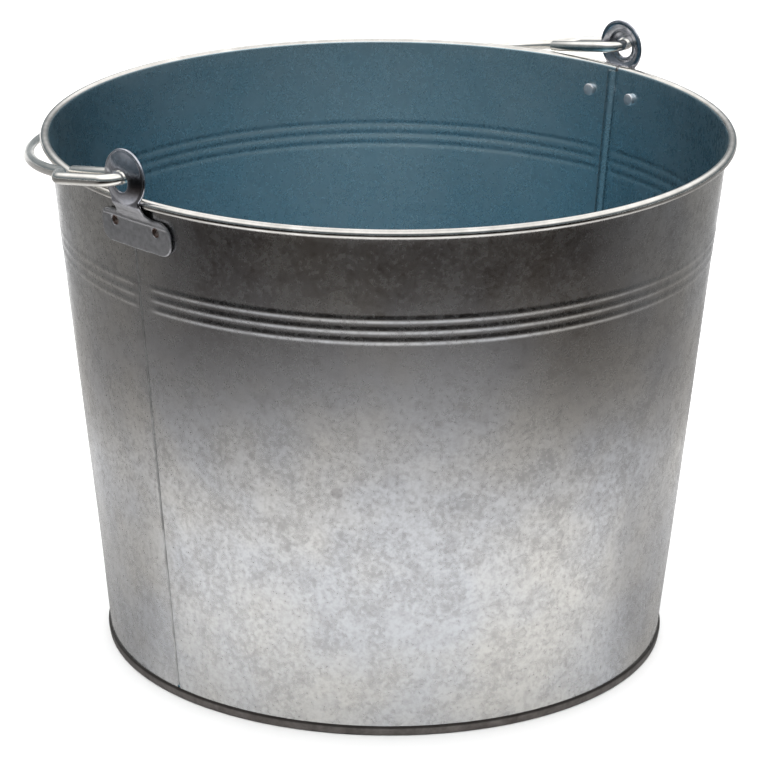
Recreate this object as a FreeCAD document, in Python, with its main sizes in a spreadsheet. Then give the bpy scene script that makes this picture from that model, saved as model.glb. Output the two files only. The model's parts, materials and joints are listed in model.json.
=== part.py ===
import FreeCAD, Part
import math
import os

import Sketcher

# Galvanised feed bucket with a hinged wire bail.
# Frame: millimetres, +Z up, origin on the pail's axis at floor level, the two ears on -X and +X,
# the bail folded down towards +Y.

V = FreeCAD.Vector
TURN = FreeCAD.Rotation
doc = FreeCAD.newDocument("feed_bucket")
sheet = doc.addObject("Spreadsheet::Sheet", "Sizes")

SIZES = {
    "sheet_gauge": 0.5,            # wall sheet
    "lap_gap": 0.03,               # air between neighbouring pieces
    "rim_radius": 157.8,           # centre circle of the rolled rim
    "rim_height": 244.4,
    "rim_wire_dia": 3.4,
    "rim_open_angle": 56,          # stretch of the roll left open beside the wall
    "wall_taper": 5.83,
    "wall_foot": 0.65,             # lower edge of the wall inside the foot seam
    "hem_height": 3.5,
    "ridge_count": 3,
    "ridge_top": 204.5,
    "ridge_pitch": 5.05,
    "ridge_width": 4.2,
    "ridge_relief": 0.25,
    "seam_width": 4.4,             # folded lock seam, measured round the wall
    "seam_low": 5.6,
    "seam_high": 240.6,
    "floor_gauge": 0.6,
    "floor_top": 5.2,
    "foot_band_top": 4.5,
    "foot_round": 0.9,
    "ear_gauge": 1.4,
    "ear_edge": 160.4,             # inner face of the ear disc at its edge, from the axis
    "ear_disc_dia": 26,
    "ear_disc_height": 255.2,
    "ear_flat_dia": 16,
    "ear_dome": 3,
    "ear_hole_dia": 9.6,
    "ear_hole_height": 254.2,
    "plate_width": 44,
    "plate_low": 221.8,
    "plate_high": 237.4,
    "plate_corner": 6,
    "neck_width": 18,
    "neck_fillet": 3,
    "neck_bend_drop": 2.4,         # the plate starts to bend this far below its top edge
    "neck_rise": 2.1,              # height taken by the step, up to the disc's lower edge
    "neck_lap": 3.5,               # how far the neck runs up behind the disc's edge
    "disc_brim": 1.2,              # flat ring round the dome
    "edge_bevel": 0.3,
    "rivet_spacing_angle": 9.7,
    "rivet_height": 232.2,
    "rivet_shank_dia": 4.4,
    "rivet_head_dia": 5.8,
    "rivet_head_thick": 1.8,
    "rivet_cup_dia": 3.4,
    "rivet_cup_deep": 1,
    "rivet_set_back": 0.5,         # outer end of the shank below the face of the ear
    "bail_wire_dia": 5.4,
    "bail_radius": 166,            # centreline of the long bow
    "bail_fold": 10.1,             # bow below the horizontal when folded
    "pivot_height": 255.5,
    "hook_centre": 163,            # middle of the hook, from the axis
    "hook_radius": 6.8,
    "hook_inner_leg": 41,
    "crank_angle": 50,
    "crank_first_bend": 8,
    "crank_second_bend": 10,
    "bow_start_angle": 16.5,       # where the crank runs into the bow
}


def fill_sheet(sizes):
    for row, (alias, number) in enumerate(sizes.items(), start=1):
        sheet.set(f"A{row}", alias.replace("_", " "))
        sheet.set(f"B{row}", str(number))
        sheet.setAlias(f"B{row}", alias)


def size(alias):
    return float(getattr(sheet, alias))


def radians(alias):
    return math.radians(size(alias))


fill_sheet(SIZES)
doc.recompute()

gauge = size("sheet_gauge")
gap = size("lap_gap")
taper = radians("wall_taper")
roll_inner = size("rim_wire_dia") / 2 + gap
roll_outer = roll_inner + gauge
rim = V(size("rim_radius"), size("rim_height"), 0)
layer_step = gauge + gap


def wall_radius(height, inward=0.0):
    """Radius of the wall's outer face at a height, moved inward by a distance across the sheet."""
    return rim.x - (roll_inner + inward) / math.cos(taper) - (rim.y - height) * math.tan(taper)


def wall_point(height, inward=0.0):
    return V(wall_radius(height, inward), height, 0)


def polar(centre, radius, degrees):
    angle = math.radians(degrees)
    return centre + V(radius * math.cos(angle), radius * math.sin(angle), 0)


# ---- sketch and body helpers -------------------------------------------------------------

class Outline:
    """A run of straight lines and three-point arcs drawn one after another."""

    def __init__(self, start):
        self.start = start
        self.here = start
        self.edges = []

    def line(self, *points):
        for point in points:
            self.edges.append(Part.LineSegment(self.here, point))
            self.here = point
        return self

    def arc(self, through, end):
        self.edges.append(Part.Arc(self.here, through, end))
        self.here = end
        return self

    def close(self):
        return self.line(self.start)


def new_body(name):
    return doc.addObject("PartDesign::Body", name)


def origin_plane(body, role):
    for feature in body.Origin.OriginFeatures:
        if feature.Role == role:
            return feature
    raise RuntimeError("no plane " + role)


def new_sketch(body, name, role, edges, offset=None):
    sketch = body.newObject("Sketcher::SketchObject", name)
    sketch.AttachmentSupport = [(origin_plane(body, role), "")]
    sketch.MapMode = "FlatFace"
    if offset is not None:
        sketch.AttachmentOffset = offset
    sketch.addGeometry(edges, False)
    return sketch


def sector(body, name, edges, middle, span_formula):
    """Turn an outline of radius and height about the pail's axis, centred on an azimuth."""
    swing = FreeCAD.Placement(V(0, 0, 0), TURN(V(0, 1, 0), middle))
    sketch = new_sketch(body, name + "_outline", "XZ_Plane", edges, swing)
    turned = body.newObject("PartDesign::Revolution", name)
    turned.Profile = sketch
    turned.ReferenceAxis = (sketch, ["V_Axis"])
    turned.Midplane = True
    turned.setExpression("Angle", span_formula)
    body.Tip = turned
    return turned


def circle_in(sketch, centre, radius_formula):
    index = sketch.addGeometry(Part.Circle(centre, V(0, 0, 1), 1.0), False)
    constraint = sketch.addConstraint(Sketcher.Constraint("Radius", index, 1.0))
    sketch.setExpression(f"Constraints[{constraint}]", radius_formula)
    return index


def add_node(kind, label):
    node = doc.addObject(kind, label)
    node.Label = label
    return node


# ---- wall panels -------------------------------------------------------------------------

def ridge_heights():
    count = int(size("ridge_count"))
    return [size("ridge_top") - i * size("ridge_pitch") for i in reversed(range(count))]


def add_ridges(outline, inward, heights):
    """Shallow rolled ridges on one face of the sheet, in the order the outline meets them."""
    rising = heights[0] < heights[-1]
    half = size("ridge_width") / 2 * (1 if rising else -1)
    for height in heights:
        crest = wall_point(height, inward - size("ridge_relief"))
        outline.line(wall_point(height - half, inward))
        outline.arc(crest, wall_point(height + half, inward))


def panel_profile():
    """Wall with its hemmed foot, ridges and the roll that wraps the rim wire."""
    foot = size("wall_foot")
    hem = size("hem_height")
    tangent = 180 - size("wall_taper")
    roll_end = tangent + size("rim_open_angle") - 360
    roll_middle = (tangent + roll_end) / 2
    outline = Outline(wall_point(foot, gauge))
    outline.line(wall_point(foot, -gauge), wall_point(hem, -gauge), wall_point(hem + gauge))
    add_ridges(outline, 0.0, ridge_heights())
    outline.line(polar(rim, roll_inner, tangent))
    outline.arc(polar(rim, roll_inner, roll_middle), polar(rim, roll_inner, roll_end))
    outline.line(polar(rim, roll_outer, roll_end))
    outline.arc(polar(rim, roll_outer, roll_middle), polar(rim, roll_outer, tangent))
    add_ridges(outline, gauge, ridge_heights()[::-1])
    return outline.close().edges


def layer_profile(first, last):
    """Flat strip of seam standing in the numbered layers, counted inward from the wall itself."""
    outside = (first - 1) * layer_step
    inside = (last - 1) * layer_step + gauge
    low, high = size("seam_low"), size("seam_high")
    outline = Outline(wall_point(low, outside))
    outline.line(wall_point(high, outside), wall_point(high, inside), wall_point(low, inside))
    return outline.close().edges


def make_panel(name):
    """Half of the wall; one edge hooks over its neighbour, the other tucks behind it."""
    mean_radius = wall_radius((size("seam_low") + size("seam_high")) / 2)
    degrees_per_mm = math.degrees(1 / mean_radius)
    half = size("seam_width") / 2 * degrees_per_mm
    thick = gauge * degrees_per_mm
    air = gap * degrees_per_mm
    sheet_turn = f"({gauge} / {mean_radius:.4f}) * 180 / pi * 1deg"
    body = new_body(name + "_blank")

    wall_end = -half - air
    hook_edge = -180 - half
    span = wall_end - hook_edge
    sector(body, "wall", panel_profile(), (wall_end + hook_edge) / 2, f"{span:.6f} deg")

    # hook on the outer side: over the neighbour and back in the third layer
    hook_web = hook_edge + thick / 2
    sector(body, "hook_web", layer_profile(1, 3), hook_web, sheet_turn)
    hook_tip = -180 + half - thick - 2 * air
    sector(body, "hook_flap", layer_profile(3, 3), (hook_edge + hook_tip) / 2,
           f"{hook_tip - hook_edge:.6f} deg")

    # tuck on the inner side: behind the neighbour and back in the second layer
    tuck_web = wall_end - thick / 2
    sector(body, "tuck_web", layer_profile(1, 4), tuck_web, sheet_turn)
    sector(body, "tuck_back", layer_profile(4, 4), (tuck_web + half) / 2,
           f"{half - tuck_web:.6f} deg")
    sector(body, "tuck_turn", layer_profile(2, 4), half - thick / 2, sheet_turn)
    flap_end = -half + thick + air
    sector(body, "tuck_flap", layer_profile(2, 2), (half + flap_end) / 2,
           f"{half - flap_end:.6f} deg")
    return body


# ---- rivets and the bores they sit in ----------------------------------------------------

def rivet_placement(azimuth):
    """Origin on the wall's outer face, local X square to the wall and pointing outward."""
    seat = wall_radius(size("rivet_height"))
    lean = TURN(V(0, 1, 0), size("wall_taper"))
    swing = TURN(V(0, 0, 1), azimuth)
    return FreeCAD.Placement(swing.multVec(V(seat, 0, size("rivet_height"))), swing.multiply(lean))


def rivet_azimuths():
    half = size("rivet_spacing_angle") / 2
    return [-half, half, 180 - half, 180 + half]


def make_rivet(name):
    head_foot = -gauge - gap
    head_top = head_foot - size("rivet_head_thick")
    head = size("rivet_head_dia") / 2
    shank = size("rivet_shank_dia") / 2
    cup = size("rivet_cup_dia") / 2
    end = gap + size("ear_gauge") - size("rivet_set_back")
    bevel = size("edge_bevel")
    outline = Outline(V(head_top, 0, 0))
    outline.line(V(head_top, head - bevel, 0), V(head_top + bevel, head, 0), V(head_foot, head, 0),
                 V(head_foot, shank, 0), V(end, shank, 0), V(end, cup, 0),
                 V(end - size("rivet_cup_deep"), cup * 0.6, 0), V(end - size("rivet_cup_deep"), 0, 0))
    body = new_body(name)
    sketch = new_sketch(body, name + "_outline", "XY_Plane", outline.close().edges)
    turned = body.newObject("PartDesign::Revolution", name + "_turned")
    turned.Profile = sketch
    turned.ReferenceAxis = (sketch, ["H_Axis"])
    turned.Angle = 360
    body.Tip = turned
    return body


def make_bores():
    bores = []
    for index, azimuth in enumerate(rivet_azimuths()):
        bore = doc.addObject("Part::Cylinder", f"rivet_bore_{index}")
        bore.setExpression("Radius", "Sizes.rivet_shank_dia / 2 + Sizes.lap_gap")
        bore.setExpression("Height", "2 * Sizes.ear_gauge + 2 * Sizes.sheet_gauge")
        along = TURN(V(0, 0, 1), V(1, 0, 0))
        place = rivet_placement(azimuth)
        start = -size("ear_gauge") / 2 - size("sheet_gauge")
        middle = place.multVec(V(start, 0, 0))
        bore.Placement = FreeCAD.Placement(middle, place.Rotation.multiply(along))
        bores.append(bore)
    group = doc.addObject("Part::Compound", "rivet_bores")
    group.Links = bores
    return group


def drilled(label, blank, tool):
    cut = add_node("Part::Cut", label)
    cut.Base = blank
    cut.Tool = tool
    return cut


# ---- rim wire and bottom -----------------------------------------------------------------

def make_rim_wire():
    ring = add_node("Part::Torus", "rim_wire")
    ring.setExpression("Radius1", "Sizes.rim_radius")
    ring.setExpression("Radius2", "Sizes.rim_wire_dia / 2")
    ring.Placement = FreeCAD.Placement(V(0, 0, size("rim_height")), TURN())
    return ring


def make_bottom():
    """Floor sheet whose edge drops inside the wall, turns under it and grips it from outside."""
    thick = size("floor_gauge")
    top = size("floor_top")
    under = top - thick
    band = size("foot_band_top")
    rounding = size("foot_round")
    corner = rounding * (1 - math.sqrt(0.5))
    foot = size("wall_foot") - gap
    hem = size("hem_height") + gap
    inside = gauge + gap
    leg = inside + thick
    outside = -gauge - gap
    skin = outside - thick
    inner_foot = wall_point(foot, leg)
    outer_low = wall_point(rounding, skin)
    outer_high = wall_point(band - rounding, skin)
    outline = Outline(V(0, under, 0))
    outline.line(V(wall_radius(under - rounding, leg) - rounding, under, 0))
    outline.arc(V(wall_radius(under - rounding, leg) - corner, under - corner, 0),
                wall_point(under - rounding, leg))
    outline.line(inner_foot)
    outline.line(V(inner_foot.x + foot / 2, 0, 0), V(outer_low.x - rounding, 0, 0))
    outline.arc(V(outer_low.x - corner, corner, 0), outer_low)
    outline.line(outer_high)
    outline.arc(V(outer_high.x - corner, band - corner, 0), V(outer_high.x - rounding, band, 0))
    outline.line(wall_point(band, -gap), wall_point(hem + gauge + gap, -gap))
    outline.line(wall_point(hem, outside), wall_point(foot, outside), wall_point(foot, inside))
    outline.line(wall_point(top, inside), V(0, top, 0))
    body = new_body("bottom_plate")
    sketch = new_sketch(body, "bottom_outline", "XZ_Plane", outline.close().edges)
    turned = body.newObject("PartDesign::Revolution", "bottom_turned")
    turned.Profile = sketch
    turned.ReferenceAxis = (sketch, ["V_Axis"])
    turned.Angle = 360
    body.Tip = turned
    return body


# ---- ears --------------------------------------------------------------------------------

def ear_strip_profile():
    """Plate lying on the wall, stepping out past the rolled rim up to the disc."""
    thick = size("ear_gauge")
    low = size("plate_low") - thick
    bend = size("plate_high") - size("neck_bend_drop")
    disc_foot = size("ear_disc_height") - size("ear_disc_dia") / 2
    step = disc_foot - size("neck_rise")
    top = disc_foot + size("neck_lap")
    clear = size("ear_edge")
    miter = thick * math.tan(math.radians(20))
    outline = Outline(wall_point(low, -gap))
    outline.line(wall_point(bend, -gap), V(clear, step, 0), V(clear, top, 0))
    outline.line(V(clear + thick, top, 0), V(clear + thick, step - miter, 0))
    outline.line(wall_point(bend - miter, -gap - thick), wall_point(low, -gap - thick))
    return outline.close().edges


def ear_outline():
    """Front view of plate and neck: X across the ear, Y up."""
    half = size("plate_width") / 2
    low, high = size("plate_low"), size("plate_high")
    corner = size("plate_corner")
    cut = corner * (1 - math.sqrt(0.5))
    neck = size("neck_width") / 2
    fillet = size("neck_fillet")
    inner = fillet * (1 - math.sqrt(0.5))
    top = size("ear_disc_height")
    outline = Outline(V(-half + corner, low, 0))
    outline.line(V(half - corner, low, 0))
    outline.arc(V(half - cut, low + cut, 0), V(half, low + corner, 0))
    outline.line(V(half, high - corner, 0))
    outline.arc(V(half - cut, high - cut, 0), V(half - corner, high, 0))
    outline.line(V(neck + fillet, high, 0))
    outline.arc(V(neck + inner, high + inner, 0), V(neck, high + fillet, 0))
    outline.line(V(neck, top, 0), V(-neck, top, 0), V(-neck, high + fillet, 0))
    outline.arc(V(-neck - inner, high + inner, 0), V(-neck - fillet, high, 0))
    outline.line(V(-half + corner, high, 0))
    outline.arc(V(-half + cut, high - cut, 0), V(-half, high - corner, 0))
    outline.line(V(-half, low + corner, 0))
    outline.arc(V(-half + cut, low + cut, 0), V(-half + corner, low, 0))
    return outline.edges


def disc_profile():
    """Half section of the domed disc above its own centre line."""
    thick = size("ear_gauge")
    edge = size("ear_edge")
    dome = size("ear_dome")
    centre = size("ear_disc_height")
    flat = size("ear_flat_dia") / 2
    outer = size("ear_disc_dia") / 2
    brim = outer - size("disc_brim")
    bevel = size("edge_bevel")
    inset = thick * math.tan(math.radians(22))
    outline = Outline(V(edge + dome, centre, 0))
    outline.line(V(edge + dome, centre + flat - inset, 0), V(edge, centre + brim - inset, 0))
    outline.line(V(edge, centre + outer - bevel, 0), V(edge + bevel, centre + outer, 0))
    outline.line(V(edge + thick - bevel, centre + outer, 0), V(edge + thick, centre + outer - bevel, 0))
    outline.line(V(edge + thick, centre + brim, 0), V(edge + dome + thick, centre + flat, 0))
    outline.line(V(edge + dome + thick, centre, 0))
    return outline.close().edges


def make_ear(name, azimuth):
    body = new_body(name + "_blank")
    sector(body, "strip", ear_strip_profile(), 0, "Sizes.plate_width / Sizes.rim_radius * 75 deg")

    reach = size("plate_width")
    low, high = size("plate_low") - reach, size("ear_disc_height") + reach
    frame = Outline(V(-reach, low, 0)).line(V(reach, low, 0), V(reach, high, 0), V(-reach, high, 0))
    trim_sketch = new_sketch(body, "trim_outline", "YZ_Plane", frame.close().edges + ear_outline())
    trim = body.newObject("PartDesign::Pocket", "trim")
    trim.Profile = trim_sketch
    trim.Type = "ThroughAll"
    trim.Reversed = True
    body.Tip = trim

    disc_sketch = new_sketch(body, "disc_outline", "XZ_Plane", disc_profile())
    centre = V(size("ear_edge"), size("ear_disc_height"), 0)
    disc_sketch.addGeometry(Part.LineSegment(centre, centre + V(size("ear_dome"), 0, 0)), True)
    disc = body.newObject("PartDesign::Revolution", "disc")
    disc.Profile = disc_sketch
    disc.ReferenceAxis = (disc_sketch, ["Axis0"])
    disc.Angle = 360
    body.Tip = disc

    hole_sketch = new_sketch(body, "hole_outline", "YZ_Plane", [])
    circle_in(hole_sketch, V(0, size("ear_hole_height"), 0), "Sizes.ear_hole_dia / 2")
    hole = body.newObject("PartDesign::Pocket", "hole")
    hole.Profile = hole_sketch
    hole.Type = "ThroughAll"
    hole.Reversed = True
    body.Tip = hole
    body.Placement = FreeCAD.Placement(V(0, 0, 0), TURN(V(0, 0, 1), azimuth))
    return body


# ---- bail --------------------------------------------------------------------------------

def bail_half():
    """Right-hand half of the wire in its own plane, from the cut end to the middle of the bow."""
    radius = size("hook_radius")
    inner = size("hook_centre") - radius
    outer = size("hook_centre") + radius
    crank = radians("crank_angle")
    start = radians("bow_start_angle")
    first, second = size("crank_first_bend"), size("crank_second_bend")
    bow = size("bail_radius")

    joint = V(bow * math.cos(start), bow * math.sin(start), 0)
    before = joint - V(math.cos(crank) - math.cos(start), math.sin(crank) - math.sin(start), 0) * second
    across = outer - first * (1 - math.cos(crank)) - before.x
    slant = across / math.sin(crank)
    after = before - V(-math.sin(crank), math.cos(crank), 0) * slant
    leg_end = V(outer, after.y - first * math.sin(crank), 0)
    first_centre = V(outer - first, leg_end.y, 0)
    second_centre = before + V(math.cos(crank), math.sin(crank), 0) * second

    wire = Outline(V(inner, size("hook_inner_leg"), 0))
    wire.line(V(inner, radius, 0))
    wire.arc(V(size("hook_centre"), 0, 0), V(outer, radius, 0))
    wire.line(leg_end)
    wire.arc(polar(first_centre, first, size("crank_angle") / 2), after)
    wire.line(before)
    between = 180 + (size("crank_angle") + size("bow_start_angle")) / 2
    wire.arc(polar(second_centre, second, between), joint)
    middle = (size("bow_start_angle") + 90) / 2
    wire.arc(polar(V(0, 0, 0), bow, middle), V(0, bow, 0))
    return wire.edges


def mirrored(edges):
    matrix = FreeCAD.Matrix()
    matrix.scale(-1, 1, 1)
    flipped = []
    for edge in reversed(edges):
        copy = edge.copy()
        ends = [V(-p.x, p.y, 0) for p in (edge.EndPoint, edge.StartPoint)]
        if isinstance(edge, Part.LineSegment):
            flipped.append(Part.LineSegment(*ends))
        else:
            half_way = copy.value((copy.FirstParameter + copy.LastParameter) / 2)
            flipped.append(Part.Arc(ends[0], V(-half_way.x, half_way.y, 0), ends[1]))
    return flipped


def make_bail():
    body = new_body("bail")
    half = bail_half()
    path = new_sketch(body, "bail_path", "XY_Plane", half + mirrored(half))
    inner = size("hook_centre") - size("hook_radius")
    back = FreeCAD.Placement(V(0, 0, -size("hook_inner_leg")), TURN())
    round_section = new_sketch(body, "bail_section", "XZ_Plane", [], back)
    circle_in(round_section, V(inner, 0, 0), "Sizes.bail_wire_dia / 2")
    pipe = body.newObject("PartDesign::AdditivePipe", "bail_wire")
    pipe.Profile = round_section
    pipe.Spine = path
    body.Tip = pipe
    place = FreeCAD.Placement(V(0, 0, size("pivot_height")), TURN(V(1, 0, 0), -size("bail_fold")))
    body.Placement = place
    return body


# ---- assembly ----------------------------------------------------------------------------

bores = make_bores()
nodes = []

front_blank = make_panel("wall_front")
rear_blank = make_panel("wall_rear")
rear_blank.Placement = FreeCAD.Placement(V(0, 0, 0), TURN(V(0, 0, 1), 180))
nodes.append(drilled("wall_front", front_blank, bores))
nodes.append(drilled("wall_rear", rear_blank, bores))
nodes.append(make_rim_wire())
nodes.append(make_bottom())
nodes.append(drilled("ear_right", make_ear("ear_right", 0), bores))
nodes.append(drilled("ear_left", make_ear("ear_left", 180), bores))

rivets = []
for number, azimuth in enumerate(rivet_azimuths()):
    rivet = make_rivet(f"rivet_{number}")
    rivet.Placement = rivet_placement(azimuth)
    rivets.append(rivet)
rivet_group = add_node("Part::Compound", "ear_rivets")
rivet_group.Links = rivets
nodes.append(rivet_group)
nodes.append(make_bail())

doc.recompute()

for item in doc.Objects:
    if "Invalid" in item.State or "Error" in item.State:
        raise RuntimeError("bad object " + item.Name)

os.makedirs("parts", exist_ok=True)
for node in nodes:
    if node.Shape.isNull() or not node.Shape.isValid():
        raise RuntimeError("bad shape " + node.Label)
    node.Shape.exportStep("parts/" + node.Label + ".step")
    print(f"{node.Label:14s} solids {len(node.Shape.Solids)}  volume {node.Shape.Volume:.1f}")
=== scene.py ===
import json
import math

import bmesh
import bpy
from mathutils import Matrix, Vector, noise


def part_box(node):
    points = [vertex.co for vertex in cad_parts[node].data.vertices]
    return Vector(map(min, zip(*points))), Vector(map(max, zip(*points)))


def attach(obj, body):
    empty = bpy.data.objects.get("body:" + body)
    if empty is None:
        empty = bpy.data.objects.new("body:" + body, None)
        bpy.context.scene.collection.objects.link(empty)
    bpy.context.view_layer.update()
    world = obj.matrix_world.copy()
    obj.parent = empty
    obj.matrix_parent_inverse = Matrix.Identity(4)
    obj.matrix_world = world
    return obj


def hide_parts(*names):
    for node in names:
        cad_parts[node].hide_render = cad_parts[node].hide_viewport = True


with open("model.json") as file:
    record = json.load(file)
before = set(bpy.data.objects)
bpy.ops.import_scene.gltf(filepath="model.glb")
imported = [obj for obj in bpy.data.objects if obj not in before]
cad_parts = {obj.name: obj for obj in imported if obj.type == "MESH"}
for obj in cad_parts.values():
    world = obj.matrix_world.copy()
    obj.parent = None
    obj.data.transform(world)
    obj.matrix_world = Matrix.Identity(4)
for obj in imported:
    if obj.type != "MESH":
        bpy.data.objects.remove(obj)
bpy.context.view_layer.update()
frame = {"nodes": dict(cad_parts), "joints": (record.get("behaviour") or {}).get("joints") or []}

# Galvanised feed bucket. Shapes are worked out in millimetres and scaled to metres as meshes are made.

MM = 0.001

SHEET = 0.5               # wall sheet
AIR = 0.03                # between neighbouring pieces
TAPER = math.radians(5.83)
RIM_WIRE = 3.4
RIM_OPEN = 56             # degrees of the roll left open beside the wall
WALL_FOOT = 0.65
HEM = 3.5
RIDGE_TOP, RIDGE_PITCH, RIDGE_WIDTH, RIDGE_RELIEF, RIDGES = 204.5, 5.05, 4.2, 0.19, 3
RIDGE_CREST = 0.15        # below the ridge's middle: the upper flank is the longer one
RIDGE_STOP, RIDGE_FADE = 2.4, 5.0
WAVE_DEPTH, WAVE_ROUND, WAVE_RISE = 0.55, 2.1, 105
WAVE_FOOT, WAVE_RIM, WAVE_SEAM = (12, 40), (8, 30), (4, 25)     # starts at, grows over
SEAM_WIDTH = 4.4
SEAM_LOW, SEAM_HIGH, SEAM_MIDDLE = 5.6, 244.2, 123.1
FLOOR_SHEET, FLOOR_TOP, BAND_TOP, BAND_ROUND = 0.6, 5.2, 4.5, 0.9
FLOOR_BEND, FLOOR_CORNER, FOOT_ROUND, BAND_BELLY, FLOOR_INSET = 1.2, 1.0, 0.5, 0.16, 20
EAR_SHEET, EAR_EDGE = 1.4, 160.4
NECK_BEND, NECK_STEP, NECK_END = 235.0, 240.1, 244.0
EAR_DISC_HEIGHT, EAR_DISC_LOW, EAR_DOME, EAR_FLAT, EAR_DOME_REACH = 255.2, 242.5, 3.0, 8.0, 11.8
PLATE_LIFT, PLATE_HOLD, PLATE_HALF = 1.0, 9.0, 22.0
EAR_VOXEL, EAR_SMOOTHING, EAR_CREASE = 0.26, 11, 60
RIVET_HEIGHT, RIVET_TURN = 232.2, 4.85
RIVET_SHANK, RIVET_HEAD, RIVET_HEAD_THICK, RIVET_SET_BACK = 4.4, 5.8, 1.8, 0.15
RIVET_CUP, RIVET_CUP_DEEP = 3.8, 1.5
EDGE_BEVEL = 0.45         # on the rivets' inner heads and the bail's cut ends
BAIL_WIRE, BAIL_BOW, BAIL_FOLD = 5.4, 166.0, math.radians(10.1)
HOOK_CENTRE, HOOK_RADIUS, HOOK_LEG = 163.0, 6.8, 41.0
CRANK_ANGLE, CRANK_FIRST, CRANK_SECOND = math.radians(50), 8.0, 10.0
BOW_START = math.radians(16.5)

PAIL, HANDLE = "pail", "handle"
LEFT, RIGHT = -1, 1
PIVOT = Vector(frame["joints"][0]["pos_m"]) / MM
SIDEWAYS, UP = Vector((0, 1, 0)), Vector((0, 0, 1))

wire_low, wire_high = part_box("rim_wire")
RIM_RADIUS = wire_high[0] / MM - RIM_WIRE / 2
RIM_HEIGHT = (wire_low[2] + wire_high[2]) / 2 / MM
ROLL_IN = RIM_WIRE / 2 + AIR
ROLL_OUT = ROLL_IN + SHEET
LAYER = SHEET + AIR


# ---- shape of the wall -------------------------------------------------------------------

def wall_radius(height, inward=0.0):
    """Radius of the wall's outer face at a height, or of a face that lies further in."""
    return RIM_RADIUS - (ROLL_IN + inward) / math.cos(TAPER) - (RIM_HEIGHT - height) * math.tan(TAPER)


MEAN_RADIUS = wall_radius(SEAM_MIDDLE)
RADIANS_PER_MM = 1 / MEAN_RADIUS


def smooth(x):
    """0 below 0, 1 above 1, and an even S between."""
    x = min(max(x, 0.0), 1.0)
    return x * x * (3 - 2 * x)


def seam_distance(azimuth):
    """Millimetres round the wall from the nearer of the two seams, which lie on -X and +X."""
    turn = abs(math.remainder(azimuth, math.pi))
    return turn * MEAN_RADIUS


def ridge_lift(height, azimuth):
    """Outward lift of the rolled ridges; they run out just short of the seams."""
    lift = 0.0
    for index in range(RIDGES):
        above = height - (RIDGE_TOP - RIDGE_CREST - index * RIDGE_PITCH)
        reach = RIDGE_WIDTH / 2 + math.copysign(RIDGE_CREST, above)
        if abs(above) < reach:
            lift = RIDGE_RELIEF * (0.5 + 0.5 * math.cos(math.pi * above / reach))
    return lift * smooth((seam_distance(azimuth) - RIDGE_STOP) / RIDGE_FADE)


def sheet_wave(height, azimuth):
    """The slow unevenness of bent sheet, none at the rim, foot and seams."""
    hold = 1.0
    edges = ((height, WAVE_FOOT), (RIM_HEIGHT - height, WAVE_RIM), (seam_distance(azimuth), WAVE_SEAM))
    for away, (begins, grows) in edges:
        hold *= smooth((away - begins) / grows)
    place = Vector((math.cos(azimuth) * WAVE_ROUND, math.sin(azimuth) * WAVE_ROUND, height / WAVE_RISE))
    return WAVE_DEPTH * hold * noise.noise(place)


# ---- mesh helpers ------------------------------------------------------------------------

def finish_piece(mesh_data, name, body, materials, replaced=()):
    """Scales a mesh from millimetres to metres and makes it a piece of the model."""
    bmesh.ops.scale(mesh_data, vec=(MM, MM, MM), verts=mesh_data.verts)
    bmesh.ops.recalc_face_normals(mesh_data, faces=mesh_data.faces)
    mesh = bpy.data.meshes.new(name)
    mesh_data.to_mesh(mesh)
    mesh_data.free()
    return place_piece(mesh, name, body, materials, replaced)


def place_piece(mesh, name, body, materials, replaced=(), sharp=32):
    """Smooths the shading up to the sharp angle and tells the frame what the piece is."""
    mesh.polygons.foreach_set("use_smooth", [True] * len(mesh.polygons))
    mesh.set_sharp_from_angle(angle=math.radians(sharp))
    piece = bpy.data.objects.new(name, mesh)
    bpy.context.scene.collection.objects.link(piece)
    for material in materials:
        mesh.materials.append(material)
    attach(piece, body)
    if replaced:
        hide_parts(*replaced)
    return piece


def arc(centre, radius, start, end, steps):
    """Points of an arc in a section plane, angles in degrees."""
    points = []
    for index in range(steps + 1):
        angle = math.radians(start + (end - start) * index / steps)
        points.append((centre[0] + radius * math.cos(angle), centre[1] + radius * math.sin(angle)))
    return points


def spaced(start, end, step):
    """Even values from start to end, about a step apart."""
    count = max(1, round((end - start) / step))
    return [start + (end - start) * index / count for index in range(count + 1)]


def add_tube(mesh_data, rows, slot_of=None):
    """Quads between closed rings of vertices, and a cap on each end."""
    columns = len(rows[0])
    for here, there in zip(rows, rows[1:]):
        for j in range(columns):
            k = (j + 1) % columns
            face = mesh_data.faces.new((here[j], here[k], there[k], there[j]))
            if slot_of:
                face.material_index = slot_of[j]
    mesh_data.faces.new(rows[0])
    mesh_data.faces.new(reversed(rows[-1]))


def add_ring(mesh_data, place, centre, across, up, radius, segments):
    """A round ring of vertices about centre, in the plane of across and up."""
    ring = []
    for index in range(segments):
        angle = 2 * math.pi * index / segments
        offset = across * (radius * math.cos(angle)) + up * (radius * math.sin(angle))
        ring.append(mesh_data.verts.new(place @ (centre + offset)))
    return ring


def polar_vertex(mesh_data, radius, azimuth, height):
    """A vertex placed round the bucket's axis, in millimetres."""
    return mesh_data.verts.new((radius * math.cos(azimuth), radius * math.sin(azimuth), height))


# ---- wall panels -------------------------------------------------------------------------

OUTSIDE, INSIDE, ROLL, GRIME_AND_SHADE = 0, 1, 2, 3


def wall_levels():
    """Heights at which the wall is sampled, close together across the ridges."""
    margin, below, across, above = 0.4, 8.0, 0.42, 6.0
    low, high = HEM + SHEET + 1, RIM_HEIGHT + ROLL_IN * math.sin(TAPER)
    ridge_low = RIDGE_TOP - (RIDGES - 1) * RIDGE_PITCH - RIDGE_WIDTH / 2 - margin
    ridge_high = RIDGE_TOP + RIDGE_WIDTH / 2 + margin
    levels = spaced(low, ridge_low, below) + spaced(ridge_low, ridge_high, across)[1:]
    return levels + spaced(ridge_high, high, above)[1:]


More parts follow.
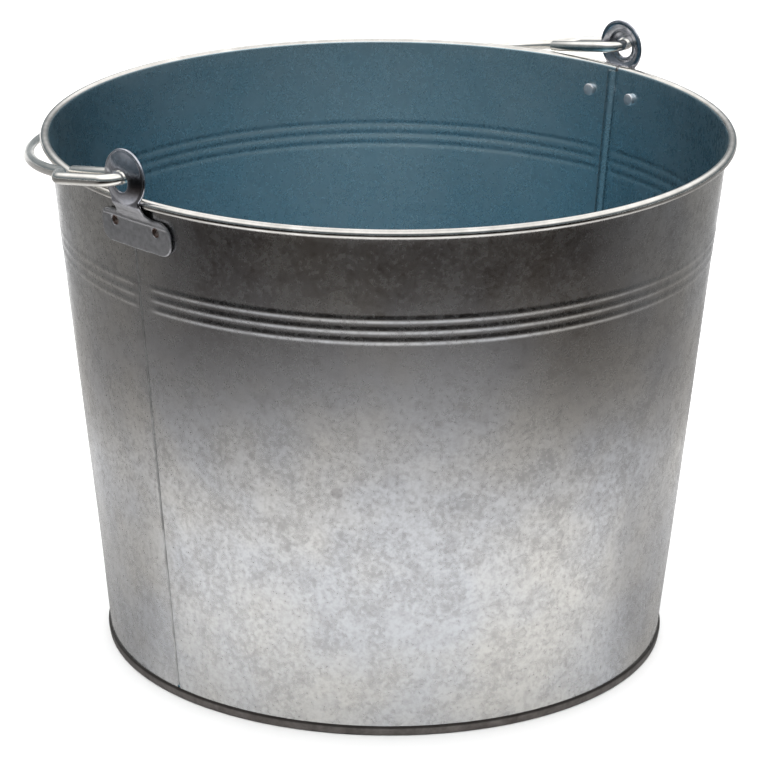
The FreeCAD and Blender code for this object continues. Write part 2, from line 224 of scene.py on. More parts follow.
def panel_section():
    """Closed section of the panel: (radius, height, how far the sheet's lifts apply, material)."""
    levels = wall_levels()
    tangent = 180 - math.degrees(TAPER)
    roll_end = tangent + RIM_OPEN - 360
    centre = (RIM_RADIUS, RIM_HEIGHT)
    section = []
    foot, hem_round = WALL_FOOT, 0.3
    section.append((wall_radius(foot, SHEET), foot, 0, INSIDE))
    section.append((wall_radius(foot, -SHEET + hem_round), foot, 0, OUTSIDE))
    section.append((wall_radius(foot + hem_round, -SHEET), foot + hem_round, 0, OUTSIDE))
    section.append((wall_radius(HEM, -SHEET), HEM, 0, OUTSIDE))
    section.append((wall_radius(HEM + SHEET, -SHEET * 0.3), HEM + SHEET, 0, OUTSIDE))
    for level in levels[:-1]:
        section.append((wall_radius(level), level, 1, OUTSIDE))
    for point in arc(centre, ROLL_IN, tangent, roll_end, 22):
        section.append((*point, 0, ROLL))
    for point in arc(centre, ROLL_OUT, roll_end, tangent, 34):
        inner_side = point[0] < RIM_RADIUS - ROLL_OUT * 0.8 and point[1] > RIM_HEIGHT - 0.5
        section.append((*point, 0, INSIDE if inner_side else ROLL))
    for level in reversed(levels[:-1]):
        section.append((wall_radius(level, SHEET), level, 1, INSIDE))
    return section


def add_panel_wall(mesh_data, start, end, segments):
    """The panel's section swept round the axis, with the ridges and waviness added."""
    section = panel_section()
    rows = []
    for index in range(segments + 1):
        azimuth = start + (end - start) * index / segments
        row = []
        for radius, height, lifted, _ in section:
            lift = lifted * (ridge_lift(height, azimuth) + sheet_wave(height, azimuth))
            row.append(polar_vertex(mesh_data, radius + lift, azimuth, height))
        rows.append(row)
    add_tube(mesh_data, rows, [point[3] for point in section])


HALF_SEAM = SEAM_WIDTH / 2
LIP_STOP = 0.9            # each hooked edge ends this far from the seam's side
TURN_RADIUS = LAYER
FIRST, SECOND, THIRD, FOURTH = [SHEET / 2 + LAYER * index for index in range(4)]
JOG = 0.55
FOLD_SWELL = 0.45         # the fold inside stands a little rounded
HOOK_START = HALF_SEAM - TURN_RADIUS - SHEET / 2
TUCK_START = HALF_SEAM + AIR + JOG + SHEET / 2


def add_fold(mesh_data, path, centre_azimuth):
    """A strip of sheet folded in plan: path holds (distance round the wall, depth) of its middle.

    What shows of it inside is clean; outside and round the fold's edge it takes a darker material, partly
    dirt in the groove and partly painted shade of the crevice under the fold's edge.
    """
    fold_edge = -HALF_SEAM + TURN_RADIUS
    left, right = [], []
    for index, (along, depth) in enumerate(path):
        before, after = path[max(index - 1, 0)], path[min(index + 1, len(path) - 1)]
        direction = Vector((after[0] - before[0], after[1] - before[1])).normalized() * (SHEET / 2)
        left.append((along - direction.y, depth + direction.x))
        right.append((along + direction.y, depth - direction.x))
    ring = left + right[::-1]
    rows = []
    for height in spaced(SEAM_LOW, SEAM_HIGH, 12):
        row = []
        for along, depth in ring:
            azimuth = centre_azimuth - along * RADIANS_PER_MM
            row.append(polar_vertex(mesh_data, wall_radius(height, depth), azimuth, height))
        rows.append(row)
    # painted shade: faces outside and round the fold's edge take the darker seam material, dirt in the
    # groove together with the crevice's shade painted in
    slots = [INSIDE if depth > FIRST + SHEET / 2 and along > fold_edge else GRIME_AND_SHADE for along, depth in ring]
    add_tube(mesh_data, rows, slots)


def hook_path():
    """From the wall's own layer round into the third layer."""
    path = arc((HOOK_START, SECOND), TURN_RADIUS, -90, 90, 12)
    path.append((-HALF_SEAM + LIP_STOP, THIRD))
    return path


def tuck_path():
    """From the wall's own layer back behind the neighbour, then round into the second layer."""
    path = arc((TUCK_START, FIRST + JOG), JOG, 270, 180, 7)
    path += arc((TUCK_START - 2 * JOG, FOURTH - JOG), JOG, 0, 90, 7)
    near, far = TUCK_START - 2 * JOG, -HALF_SEAM + TURN_RADIUS + SHEET / 2
    for index in range(1, 8):
        share = index / 8
        path.append((near + (far - near) * share, FOURTH + FOLD_SWELL * math.sin(math.pi * share)))
    path += arc((far, THIRD), TURN_RADIUS, 90, 270, 12)
    path.append((HALF_SEAM - LIP_STOP, SECOND))
    return path


def make_panel(name, node, turn, materials):
    """turn 0 is the front panel; its hook is at the -X seam and its tuck at the +X seam."""
    mesh_data = bmesh.new()
    start = -math.pi - HOOK_START * RADIANS_PER_MM
    end = -TUCK_START * RADIANS_PER_MM
    add_panel_wall(mesh_data, start, end, 260)
    add_fold(mesh_data, hook_path(), -math.pi)
    add_fold(mesh_data, tuck_path(), 0.0)
    bmesh.ops.rotate(mesh_data, matrix=Matrix.Rotation(turn, 3, "Z"), verts=mesh_data.verts)
    return finish_piece(mesh_data, name, PAIL, materials, (node,))


# ---- bottom ------------------------------------------------------------------------------

def bottom_section():
    """(radius, height, material) from the underside's centre round the foot to the floor's centre."""
    foot = WALL_FOOT - AIR
    inside = SHEET + AIR
    leg = inside + FLOOR_SHEET
    skin = -SHEET - AIR - FLOOR_SHEET
    under = FLOOR_TOP - FLOOR_SHEET
    inner = wall_radius(under, leg)
    outer = wall_radius(BAND_ROUND, skin)
    points = [(0.0, under), (inner - FLOOR_INSET, under)]
    points += arc((inner - FLOOR_BEND, under - FLOOR_BEND), FLOOR_BEND, 90, 0, 6)
    foot_inner = wall_radius(foot, leg)
    points += arc((foot_inner + FOOT_ROUND, FOOT_ROUND), FOOT_ROUND, 180, 270, 4)
    points += arc((outer - BAND_ROUND, BAND_ROUND), BAND_ROUND, 270, 350, 7)
    middle = (BAND_ROUND + BAND_TOP) / 2
    points.append((wall_radius(middle, skin) + BAND_BELLY, middle))
    top_outer = wall_radius(BAND_TOP - BAND_ROUND, skin)
    points += arc((top_outer - BAND_ROUND, BAND_TOP - BAND_ROUND), BAND_ROUND, 10, 90, 7)
    band = len(points)
    points.append((wall_radius(BAND_TOP, -AIR), BAND_TOP))
    points.append((wall_radius(HEM + SHEET + AIR, -AIR), HEM + SHEET + AIR))
    points.append((wall_radius(HEM + AIR, -SHEET - AIR), HEM + AIR))
    points.append((wall_radius(foot, -SHEET - AIR), foot))
    points.append((wall_radius(foot, inside), foot))
    corner = FLOOR_TOP - FLOOR_CORNER
    wall = wall_radius(corner, inside)
    points += arc((wall - FLOOR_CORNER, corner), FLOOR_CORNER, 0, 90, 6)
    points += [(wall - FLOOR_INSET, FLOOR_TOP), (0.0, FLOOR_TOP)]
    return [(r, z, 0 if i < band else 1) for i, (r, z) in enumerate(points)]


def make_bottom(materials):
    """The floor sheet with its foot band, one closed shape turned about the axis."""
    mesh_data = bmesh.new()
    section = bottom_section()
    segments = 360
    rings = []
    for radius, height, _ in section[1:-1]:
        ring = [polar_vertex(mesh_data, radius, 2 * math.pi * k / segments, height) for k in range(segments)]
        rings.append(ring)
    for index in range(len(rings) - 1):
        here, there = rings[index], rings[index + 1]
        for k in range(segments):
            j = (k + 1) % segments
            face = mesh_data.faces.new((here[k], here[j], there[j], there[k]))
            face.material_index = section[index + 1][2]
    for ring, slot_index, height in ((rings[0], 0, section[0][1]), (rings[-1], 1, section[-1][1])):
        centre = mesh_data.verts.new((0, 0, height))
        for k in range(segments):
            face = mesh_data.faces.new((ring[k], ring[(k + 1) % segments], centre))
            face.material_index = slot_index
    return finish_piece(mesh_data, "bottom_sheet", PAIL, materials, ("bottom_plate",))


# ---- ears and rivets ---------------------------------------------------------------------

def disc_dome(mesh, side):
    """Turns the disc's pressed cone and flat into one shallow dome, both faces alike."""
    for vertex in mesh.vertices:
        out = math.hypot(vertex.co.y, vertex.co.z - EAR_DISC_HEIGHT * MM) / MM
        if out < EAR_DOME_REACH and vertex.co.z / MM > EAR_DISC_LOW:
            pressed = EAR_DOME * min(1.0, (EAR_DOME_REACH - out) / (EAR_DOME_REACH - EAR_FLAT))
            domed = EAR_DOME * (1 - (out / EAR_DOME_REACH) ** 2.2)
            vertex.co.x += side * (domed - pressed) * MM


def soften_neck(mesh, side):
    """Eases the neck's step over the rim bead from a sharp double bend into one long slope."""
    foot = wall_radius(NECK_BEND) + AIR
    for vertex in mesh.vertices:
        height = vertex.co.z / MM
        if NECK_BEND < height < NECK_END:
            stepped = min(1.0, (height - NECK_BEND) / (NECK_STEP - NECK_BEND))
            eased = smooth((height - NECK_BEND - 0.5) / (NECK_END - NECK_BEND - 0.5))
            vertex.co.x += side * (eased - stepped) * (EAR_EDGE - foot) * MM


def lift_plate_ends(mesh, side):
    """The plate is stamped flatter than the wall, so its ends stand a little off it."""
    for vertex in mesh.vertices:
        lift = PLATE_LIFT * smooth((abs(vertex.co.y) / MM - PLATE_HOLD) / (PLATE_HALF - PLATE_HOLD))
        if lift and vertex.co.z / MM < NECK_BEND + 2:
            vertex.co.x += side * lift * MM


def make_ear(node, name, side, materials):
    """The stamped ear: the CAD solid's mesh made fine and even, reshaped, then smoothed all over."""
    piece = bpy.data.objects.new(name + "_rough", frame["nodes"][node].data.copy())
    bpy.context.scene.collection.objects.link(piece)
    remesh = piece.modifiers.new("remesh", "REMESH")
    remesh.mode = "VOXEL"
    remesh.voxel_size = EAR_VOXEL * MM
    graph = bpy.context.evaluated_depsgraph_get()
    mesh = bpy.data.meshes.new_from_object(piece.evaluated_get(graph))
    mesh.materials.clear()
    bpy.data.objects.remove(piece)
    disc_dome(mesh, side)
    soften_neck(mesh, side)
    lift_plate_ends(mesh, side)
    soft = bmesh.new()
    soft.from_mesh(mesh)
    axes = {"use_axis_x": True, "use_axis_y": True, "use_axis_z": True}
    for _ in range(EAR_SMOOTHING):
        bmesh.ops.smooth_vert(soft, verts=soft.verts, factor=0.5, **axes)
    soft.to_mesh(mesh)
    soft.free()
    return place_piece(mesh, name, PAIL, materials, (node,), EAR_CREASE)


def rivet_section():
    """(distance along the axis, radius) from the inner head's middle to the bottom of the outer cup."""
    foot = -SHEET - AIR
    top = foot - RIVET_HEAD_THICK
    head, shank, cup = RIVET_HEAD / 2, RIVET_SHANK / 2, RIVET_CUP / 2
    end = AIR + EAR_SHEET - RIVET_SET_BACK
    points = [(top - 0.16, head * 0.2), (top - 0.12, head * 0.5)]
    points += arc((top + EDGE_BEVEL, head - EDGE_BEVEL), EDGE_BEVEL, 170, 90, 6)
    points += [(foot, head), (foot, shank), (end - 0.05, shank), (end, shank - 0.04), (end - 0.05, cup)]
    points.append((end - RIVET_CUP_DEEP * 0.8, cup * 0.9))
    points += [(end - RIVET_CUP_DEEP, cup * share) for share in (0.6, 0.2)]
    return points


def make_rivets(material):
    """Four like rivets, two through each ear's plate and the wall behind it."""
    mesh_data = bmesh.new()
    segments = 40
    seat = wall_radius(RIVET_HEIGHT)
    for azimuth in (-RIVET_TURN, RIVET_TURN, 180 - RIVET_TURN, 180 + RIVET_TURN):
        swing = Matrix.Rotation(math.radians(azimuth), 4, "Z")
        place = swing @ Matrix.Translation((seat, 0, RIVET_HEIGHT)) @ Matrix.Rotation(TAPER, 4, "Y")
        rings = []
        for x, radius in rivet_section():
            rings.append(add_ring(mesh_data, place, Vector((x, 0, 0)), SIDEWAYS, UP, radius, segments))
        add_tube(mesh_data, rings)
    return finish_piece(mesh_data, "ear_rivet_set", PAIL, [material], ("ear_rivets",))


# ---- bail --------------------------------------------------------------------------------

def bail_half():
    """Right-hand half of the wire's centre line in its own plane, from the cut end to the bow's middle."""
    inner, outer = HOOK_CENTRE - HOOK_RADIUS, HOOK_CENTRE + HOOK_RADIUS
    crank, start = CRANK_ANGLE, BOW_START
    joint = Vector((math.cos(start), math.sin(start))) * BAIL_BOW
    turned = Vector((math.cos(crank) - math.cos(start), math.sin(crank) - math.sin(start)))
    before = joint - turned * CRANK_SECOND
    across = outer - CRANK_FIRST * (1 - math.cos(crank)) - before.x
    after = before - Vector((-math.sin(crank), math.cos(crank))) * (across / math.sin(crank))
    leg_end = after.y - CRANK_FIRST * math.sin(crank)
    second = before + Vector((math.cos(crank), math.sin(crank))) * CRANK_SECOND

    points = [(inner, y) for y in spaced(HOOK_LEG, HOOK_RADIUS, 6)[:-1]]
    points += arc((HOOK_CENTRE, HOOK_RADIUS), HOOK_RADIUS, 180, 360, 24)
    points += [(outer, y) for y in spaced(HOOK_RADIUS, leg_end, 6)[1:-1]]
    points += arc((outer - CRANK_FIRST, leg_end), CRANK_FIRST, 0, math.degrees(crank), 9)
    points.append(tuple((after + before) / 2))
    points += arc(second, CRANK_SECOND, 180 + math.degrees(crank), 180 + math.degrees(start), 7)[:-1]
    points += arc((0, 0), BAIL_BOW, math.degrees(start), 90, 44)
    return points


def make_bail(material):
    """The bent wire: both halves of its centre line, with rings round it and bevelled cut ends."""
    half = bail_half()
    path = [Vector((x, y, 0)) for x, y in half + [(-x, y) for x, y in reversed(half[:-1])]]
    place = Matrix.Translation((0, 0, PIVOT.z)) @ Matrix.Rotation(-BAIL_FOLD, 4, "X")
    mesh_data = bmesh.new()
    segments = 32
    radius = BAIL_WIRE / 2
    ease = EDGE_BEVEL * 0.3
    rings = []
    for index, point in enumerate(path):
        before, after = path[max(index - 1, 0)], path[min(index + 1, len(path) - 1)]
        along = (after - before).normalized()
        side = along.cross(UP)
        steps = [(0.0, radius)]
        if index == 0:
            steps = [(0.0, radius - EDGE_BEVEL), (ease, radius - ease), (EDGE_BEVEL, radius)]
        if index == len(path) - 1:
            steps = [(-EDGE_BEVEL, radius), (-ease, radius - ease), (0.0, radius - EDGE_BEVEL)]
        for shift, size in steps:
            rings.append(add_ring(mesh_data, place, point + along * shift, side, UP, size, segments))
    add_tube(mesh_data, rings)
    return finish_piece(mesh_data, "bail_wire", HANDLE, [material], ("bail",))


# ---- materials ---------------------------------------------------------------------------

class Nodes:
    """A material's node tree, with the few node kinds that these finishes use."""

    def __init__(self, name):
        self.material = bpy.data.materials.new(name)
        self.material.use_nodes = True
        self.tree = self.material.node_tree
        self.tree.nodes.clear()
        self.output = self.add("ShaderNodeOutputMaterial")
        self.coordinates = self.add("ShaderNodeTexCoord").outputs["Object"]

    def add(self, kind, **settings):
        node = self.tree.nodes.new(kind)
        for key, value in settings.items():
            setattr(node, key, value)
        return node

    def link(self, source, target):
        self.tree.links.new(source, target)

    def noise(self, scale, detail=3.0, roughness=0.55, distortion=0.0):
        node = self.add("ShaderNodeTexNoise")
        node.inputs["Scale"].default_value = scale
        node.inputs["Detail"].default_value = detail
        node.inputs["Roughness"].default_value = roughness
        node.inputs["Distortion"].default_value = distortion
        self.link(self.coordinates, node.inputs["Vector"])
        return node.outputs["Fac"]

    def ramp(self, source, stops):
        """stops holds (position, colour or grey level)."""
        node = self.add("ShaderNodeValToRGB")
        ramp = node.color_ramp
        while len(ramp.elements) < len(stops):
            ramp.elements.new(0.5)
        for element, (position, colour) in zip(ramp.elements, stops):
            element.position = position
            grey = isinstance(colour, (int, float))
            element.color = (colour, colour, colour, 1) if grey else (*colour, 1)
        self.link(source, node.inputs["Fac"])
        return node.outputs["Color"]

    def fade(self, source, start, end, most=1.0):
        """Falls smoothly from most at start to nothing at end."""
        node = self.add("ShaderNodeMapRange", interpolation_type="SMOOTHSTEP")
        for key, value in (("From Min", start), ("From Max", end), ("To Min", most), ("To Max", 0.0)):
            node.inputs[key].default_value = value
        self.link(source, node.inputs["Value"])
        return node.outputs["Result"]

    def mix(self, factor, first, second, blend="MIX"):
        """Each argument is a socket, a number or a colour."""
        node = self.add("ShaderNodeMix", data_type="RGBA", blend_type=blend)
        for key, value in ((0, factor), (6, first), (7, second)):
            if isinstance(value, bpy.types.NodeSocket):
                self.link(value, node.inputs[key])
            elif isinstance(value, (int, float)):
                node.inputs[key].default_value = value
            else:
                node.inputs[key].default_value = (*value, 1)
        return node.outputs[2]

    def bump(self, source, strength, distance):
        node = self.add("ShaderNodeBump")
        node.inputs["Strength"].default_value = strength
        node.inputs["Distance"].default_value = distance
        self.link(source, node.inputs["Height"])
        return node.outputs["Normal"]

    def metal(self, colour, roughness, normal=None, metallic=1.0):
        """Ends the tree in one shader and returns the material."""
        shader = self.add("ShaderNodeBsdfPrincipled")
        shader.inputs["Metallic"].default_value = metallic
        for key, value in (("Base Color", colour), ("Roughness", roughness)):
            if isinstance(value, bpy.types.NodeSocket):
                self.link(value, shader.inputs[key])
            else:
                shader.inputs[key].default_value = value if key == "Roughness" else (*value, 1)
        if normal is not None:
            self.link(normal, shader.inputs["Normal"])
        self.link(shader.outputs[0], self.output.inputs["Surface"])
        return self.material


STAIN_TURN, STAIN_HEIGHT = math.radians(-143.8), 121
STAIN_PLACE = Matrix.Rotation(STAIN_TURN, 3, "Z") @ Vector((wall_radius(STAIN_HEIGHT), 0, STAIN_HEIGHT))
STAIN_INNER, STAIN_OUTER = 2.0, 3.4


def zinc_sheet(name, light, cool, dark, mottling, rough_low, rough_high):
    """Dull zinc: dark mottling gathered into patches, a slow cloudiness and one round stain."""
    nodes = Nodes(name)
    clouds = nodes.noise(14, 3, 0.6)
    base = nodes.mix(nodes.ramp(clouds, [(0.38, 0.0), (0.62, 1.0)]), light, cool)
    gather = nodes.noise(60, 4, 0.65)
    mottle = nodes.noise(420, 2, 0.58)
    thick = nodes.mix(0.45, mottle, gather)
    base = nodes.mix(nodes.ramp(thick, [(0.42, 0.0), (0.64, mottling)]), base, dark)
    patches = nodes.noise(150, 3, 0.6, distortion=0.2)
    base = nodes.mix(nodes.ramp(patches, [(0.50, 0.0), (0.72, mottling * 0.6)]), base, dark)
    stain = nodes.add("ShaderNodeVectorMath", operation="DISTANCE")
    nodes.link(nodes.coordinates, stain.inputs[0])
    stain.inputs[1].default_value = STAIN_PLACE * MM
    mark = nodes.fade(stain.outputs["Value"], STAIN_INNER * MM, STAIN_OUTER * MM, 0.6)
    base = nodes.mix(mark, base, dark)
    rough = nodes.ramp(nodes.mix(0.5, mottle, gather), [(0.35, rough_low), (0.65, rough_high)])
    return nodes.metal(base, rough, nodes.bump(nodes.noise(800, 2, 0.5), 0.06, 0.0001))


def rim_zinc():
    """The rolled rim, rubbed brighter than the wall."""
    nodes = Nodes("zinc_rim")
    base = nodes.ramp(nodes.noise(120, 4, 0.6), [(0.3, (0.50, 0.485, 0.46)), (0.7, (0.68, 0.665, 0.64))])
    rough = nodes.ramp(nodes.noise(240, 4, 0.6), [(0.3, 0.12), (0.75, 0.22)])
    return nodes.metal(base, rough, nodes.bump(nodes.noise(300, 3), 0.05, 0.0001))


def foot_zinc():
    """The foot band, dark brown-grey, with painted shade in a dark line along its top where it meets the
    wall.
    """
    nodes = Nodes("zinc_foot")
    base = nodes.ramp(nodes.noise(140, 5, 0.65), [(0.3, (0.075, 0.066, 0.062)), (0.7, (0.16, 0.146, 0.138))])
    split = nodes.add("ShaderNodeSeparateXYZ")
    nodes.link(nodes.coordinates, split.inputs[0])
    # painted shade: the band's top is darkened towards the wall, in place of the shadow in the crease
    line = nodes.fade(split.outputs["Z"], (BAND_TOP - 0.3) * MM, (BAND_TOP - 1.3) * MM, 0.85)
    base = nodes.mix(line, base, (0.02, 0.018, 0.017))
    rough = nodes.ramp(nodes.noise(300, 4, 0.6), [(0.3, 0.34), (0.75, 0.52)])
    return nodes.metal(base, rough, nodes.bump(nodes.noise(600, 3), 0.2, 0.0001))


def bright_zinc(name, low, high, rough_low, rough_high):
    """One metal between two colours and two roughnesses, for wire and for the seam's darker strip, which is
    partly dirt and partly painted shade.
    """
    nodes = Nodes(name)
    base = nodes.ramp(nodes.noise(110, 4, 0.6), [(0.3, low), (0.7, high)])
    rough = nodes.ramp(nodes.noise(420, 5, 0.65), [(0.3, rough_low), (0.75, rough_high)])
    return nodes.metal(base, rough, nodes.bump(nodes.noise(520, 4), 0.08, 0.0001))


def ear_zinc():
    """Bright and smooth on the disc, frosted on the neck and plate below it."""
    nodes = Nodes("ear_zinc")
    split = nodes.add("ShaderNodeSeparateXYZ")
    nodes.link(nodes.coordinates, split.inputs[0])
    below = nodes.fade(split.outputs["Z"], (EAR_DISC_LOW - 1.5) * MM, (EAR_DISC_LOW + 1.5) * MM)
    mottle = nodes.noise(380, 4, 0.66)
    disc = nodes.ramp(mottle, [(0.35, (0.33, 0.34, 0.38)), (0.65, (0.48, 0.49, 0.54))])
    plate = nodes.ramp(mottle, [(0.35, (0.36, 0.36, 0.375)), (0.62, (0.50, 0.50, 0.52))])
    rough_disc = nodes.ramp(nodes.noise(600, 4, 0.6), [(0.3, 0.17), (0.7, 0.24)])
    rough = nodes.mix(below, rough_disc, nodes.ramp(mottle, [(0.35, 0.46), (0.65, 0.56)]))
    normal = nodes.bump(nodes.noise(700, 3, 0.6), 0.12, 0.0001)
    return nodes.metal(nodes.mix(below, disc, plate), rough, normal)


def rivet_steel():
    """Pale on the inner heads, browned in the cups outside."""
    nodes = Nodes("rivet_steel")
    mottle = nodes.noise(500, 5, 0.65)
    pale = nodes.ramp(mottle, [(0.35, (0.78, 0.74, 0.76)), (0.65, (0.95, 0.92, 0.94))])
    brown = nodes.ramp(mottle, [(0.35, (0.24, 0.17, 0.15)), (0.65, (0.42, 0.34, 0.31))])
    flat = nodes.add("ShaderNodeVectorMath", operation="MULTIPLY")
    flat.inputs[1].default_value = (1, 1, 0)
    nodes.link(nodes.coordinates, flat.inputs[0])
    out = nodes.add("ShaderNodeVectorMath", operation="LENGTH")
    nodes.link(flat.outputs["Vector"], out.inputs[0])
    seat = wall_radius(RIVET_HEIGHT) * MM
    base = nodes.mix(nodes.fade(out.outputs["Value"], seat - 0.7 * MM, seat), brown, pale)
    rough = nodes.ramp(nodes.noise(700, 4, 0.6), [(0.3, 0.32), (0.7, 0.48)])
    return nodes.metal(base, rough, nodes.bump(nodes.noise(1400, 3), 0.25, 0.0001))


# ---- build -------------------------------------------------------------------------------

zinc_outside = zinc_sheet(
    "zinc_outside", (0.515, 0.505, 0.485), (0.47, 0.48, 0.50), (0.25, 0.24, 0.24), 0.5, 0.17, 0.33)
# The inside's blue-green base colour is a painted reflection of bluish light, on the inner wall, the rim's
# inner side and the floor's top.
zinc_inside_painted_reflection = zinc_sheet(
    "zinc_inside_painted_reflection", (0.52, 0.632, 0.685), (0.425, 0.588, 0.662), (0.21, 0.355, 0.435), 0.18, 0.22, 0.34)
# darker seam material: partly dirt, partly painted shade of the seam's crevice
seam_grime_and_shade = bright_zinc("seam_grime_and_shade", (0.26, 0.257, 0.252), (0.44, 0.44, 0.44), 0.4, 0.55)
wall_materials = [zinc_outside, zinc_inside_painted_reflection, rim_zinc(), seam_grime_and_shade]
make_panel("wall_front_sheet", "wall_front", 0.0, wall_materials)
make_panel("wall_rear_sheet", "wall_rear", math.pi, wall_materials)
make_bottom([foot_zinc(), zinc_inside_painted_reflection])

ear_metal = ear_zinc()
make_ear("ear_left", "ear_left_stamping", LEFT, [ear_metal])
make_ear("ear_right", "ear_right_stamping", RIGHT, [ear_metal])
make_rivets(rivet_steel())
make_bail(bright_zinc("bail_zinc", (0.66, 0.645, 0.61), (0.80, 0.785, 0.75), 0.16, 0.28))

hidden_wire = bright_zinc("plain_wire", (0.4, 0.4, 0.4), (0.5, 0.5, 0.5), 0.3, 0.4)
rim_node = frame["nodes"]["rim_wire"]
rim_node.data.materials.clear()
rim_node.data.materials.append(hidden_wire)


# ---- studio ------------------------------------------------------------------------------

VIEW_AZIMUTH, VIEW_RISE, VIEW_ROLL = math.radians(-45.3), math.radians(19.94), math.radians(0.503)
VIEW_DISTANCE = 1.746
VIEW_AIM = 0.1222
LENS = 173.5
SHIFT_X, SHIFT_Y = -0.0032, -0.0131

BACKWARD = Vector((-math.sin(VIEW_AZIMUTH), math.cos(VIEW_AZIMUTH), 0))     # level, away from the camera
FLAG_SHIFT, FLAG_TURN = 0.06, math.radians(2)
# by distance from the card's middle, in metres
FLAG_REACH = ((0.15, 0.0), (0.22, 0.10), (0.30, 0.48), (0.365, 0.82), (0.43, 0.96), (0.48, 1.0))
FLAG_LIGHT = ((0.42, (0.060, 0.046, 0.037)), (0.56, (0.032, 0.025, 0.021)), (0.68, (0.004, 0.004, 0.004)))
# by direction along the floor, from 0 away from the camera to 1 towards it
FLAG_SPREAD = ((0.015, 0.0), (0.08, 0.75), (0.3, 0.86), (0.5, 0.90), (0.72, 1.0))
FLAG_SIDES = ((0.03, 0.0), (0.10, 0.5), (0.25, 0.56), (0.45, 0.52), (0.62, 0.12), (0.78, 0.0))
# by direction in the room, from 0 against WORLD_BRIGHT to 1 along it
WORLD_BRIGHT = BACKWARD * 0.5 + Vector((0, 0, 3.2))
WORLD_LIGHT = (
    (0.15, (0.012, 0.018, 0.022)), (0.42, (0.05, 0.073, 0.088)), (0.62, (0.20, 0.24, 0.26)),
    (0.71, (0.46, 0.47, 0.48)), (0.79, (1.5, 1.5, 1.49)), (0.90, (1.65, 1.64, 1.62)),
    (0.99, (1.25, 1.25, 1.25)),
)


def make_camera():
    """The photograph's viewpoint: its azimuth, rise and slight roll, aimed at the bucket's middle."""
    back = Vector((math.sin(VIEW_AZIMUTH) * math.cos(VIEW_RISE),
                   -math.cos(VIEW_AZIMUTH) * math.cos(VIEW_RISE), math.sin(VIEW_RISE)))
    right = Vector((math.cos(VIEW_AZIMUTH), math.sin(VIEW_AZIMUTH), 0))
    up = back.cross(right)
    rolled_right = right * math.cos(VIEW_ROLL) + up * math.sin(VIEW_ROLL)
    rolled_up = up * math.cos(VIEW_ROLL) - right * math.sin(VIEW_ROLL)
    data = bpy.data.cameras.new("camera")
    data.lens = LENS
    data.sensor_width = 36
    data.sensor_fit = "HORIZONTAL"
    data.shift_x = SHIFT_X
    data.shift_y = SHIFT_Y
    data.clip_start = 0.05
    data.clip_end = 60
    camera = bpy.data.objects.new("camera", data)
    bpy.context.scene.collection.objects.link(camera)
    turn = Matrix((rolled_right, rolled_up, back)).transposed().to_4x4()
    camera.matrix_world = Matrix.Translation(Vector((0, 0, VIEW_AIM)) + back * VIEW_DISTANCE) @ turn
    bpy.context.scene.camera = camera


def make_sheet(name, size, material):
    """A flat square of the studio, lying on the ground."""
    mesh_data = bmesh.new()
    bmesh.ops.create_grid(mesh_data, x_segments=1, y_segments=1, size=size)
    mesh = bpy.data.meshes.new(name)
    mesh_data.to_mesh(mesh)
    mesh_data.free()
    sheet = bpy.data.objects.new(name, mesh)
    bpy.context.scene.collection.objects.link(sheet)
    mesh.materials.append(material)
    return sheet


def make_floor():
    """A pale matt floor."""
    nodes = Nodes("floor")
    make_sheet("floor", 8, nodes.metal((0.86, 0.86, 0.86), 0.9, metallic=0.0))


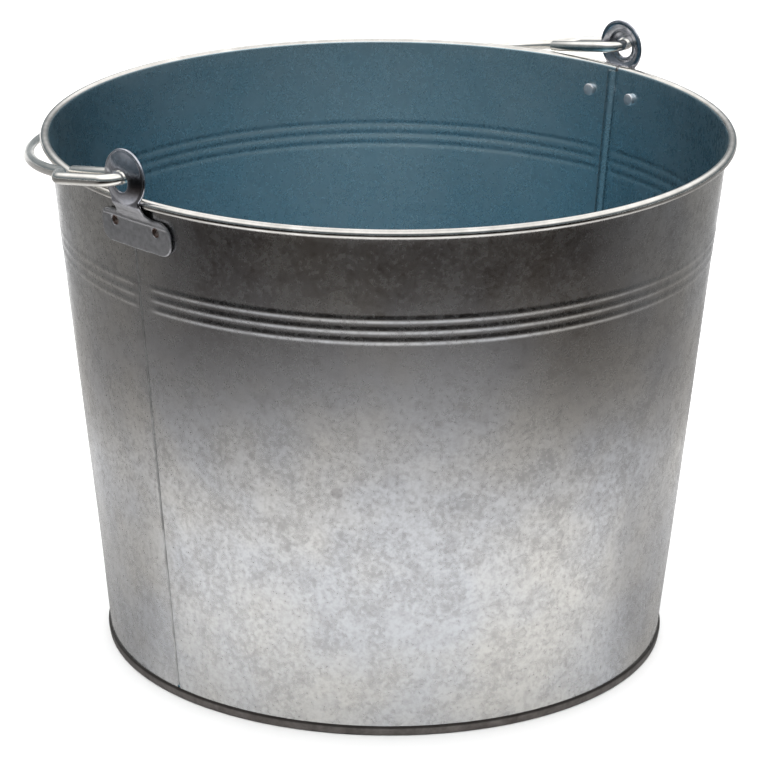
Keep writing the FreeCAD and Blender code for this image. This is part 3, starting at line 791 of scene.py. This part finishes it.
def make_flag():
    """A dark card just above the floor, mostly in front, which only reflections pick up."""
    nodes = Nodes("flag")
    distance = nodes.add("ShaderNodeVectorMath", operation="LENGTH")
    nodes.link(nodes.coordinates, distance.inputs[0])
    facing = nodes.add("ShaderNodeVectorMath", operation="NORMALIZE")
    nodes.link(nodes.coordinates, facing.inputs[0])
    front = nodes.add("ShaderNodeVectorMath", operation="DOT_PRODUCT")
    front.inputs[1].default_value = (0, -0.5, 0)
    nodes.link(facing.outputs["Vector"], front.inputs[0])
    turned = nodes.add("ShaderNodeMath", operation="ADD")
    turned.inputs[1].default_value = 0.5
    nodes.link(front.outputs["Value"], turned.inputs[0])
    reach = nodes.ramp(distance.outputs["Value"], FLAG_REACH)
    spread = nodes.ramp(turned.outputs["Value"], FLAG_SPREAD)
    sides = nodes.ramp(turned.outputs["Value"], FLAG_SIDES)
    amount = nodes.mix(1.0, nodes.mix(1.0, reach, spread, "MULTIPLY"), sides, "LIGHTEN")
    clear = nodes.add("ShaderNodeBsdfTransparent")
    dark = nodes.add("ShaderNodeEmission")
    nodes.link(nodes.ramp(distance.outputs["Value"], FLAG_LIGHT), dark.inputs["Color"])
    blend = nodes.add("ShaderNodeMixShader")
    nodes.link(amount, blend.inputs["Fac"])
    nodes.link(clear.outputs[0], blend.inputs[1])
    nodes.link(dark.outputs[0], blend.inputs[2])
    nodes.link(blend.outputs[0], nodes.output.inputs["Surface"])
    flag = make_sheet("flag", 4, nodes.material)
    flag.location = BACKWARD * -FLAG_SHIFT + Vector((0, 0, 0.0005))
    flag.rotation_euler.z = VIEW_AZIMUTH + FLAG_TURN
    flag.visible_camera = False
    flag.visible_diffuse = False
    flag.visible_shadow = False
    flag.visible_transmission = False


def add_area(name, place, aim, size, power, colour):
    """A soft rectangular light that reflections don't show."""
    data = bpy.data.lights.new(name, "AREA")
    data.shape = "RECTANGLE"
    data.size, data.size_y = size
    data.energy = power
    data.color = colour
    lamp = bpy.data.objects.new(name, data)
    lamp.visible_glossy = False
    bpy.context.scene.collection.objects.link(lamp)
    towards = Vector(aim) - Vector(place)
    lamp.matrix_world = Matrix.Translation(place) @ towards.to_track_quat("-Z", "Y").to_matrix().to_4x4()


def make_world():
    """A room that is bright overhead, leaning a little away from the camera, and dim lower down."""
    world = bpy.data.worlds.new("studio")
    bpy.context.scene.world = world
    world.use_nodes = True
    tree = world.node_tree
    place = tree.nodes.new("ShaderNodeTexCoord")
    toward = tree.nodes.new("ShaderNodeVectorMath")
    toward.operation = "DOT_PRODUCT"
    toward.inputs[1].default_value = tuple(0.5 * c for c in WORLD_BRIGHT.normalized())
    shift = tree.nodes.new("ShaderNodeMath")
    shift.inputs[1].default_value = 0.5
    ramp = tree.nodes.new("ShaderNodeValToRGB")
    elements = ramp.color_ramp.elements
    while len(elements) < len(WORLD_LIGHT):
        elements.new(0.5)
    for element, (position, colour) in zip(elements, WORLD_LIGHT):
        element.position = position
        element.color = (*colour, 1)
    tree.links.new(place.outputs["Generated"], toward.inputs[0])
    tree.links.new(toward.outputs["Value"], shift.inputs[0])
    tree.links.new(shift.outputs[0], ramp.inputs["Fac"])
    tree.links.new(ramp.outputs["Color"], tree.nodes["Background"].inputs["Color"])


make_camera()
make_floor()
make_flag()
make_world()
add_area("key", (0.2, 0.2, 2.2), (0, 0, 0), (3.0, 3.0), 86, (1, 1, 1))
bpy.context.scene.view_settings.view_transform = "Standard"
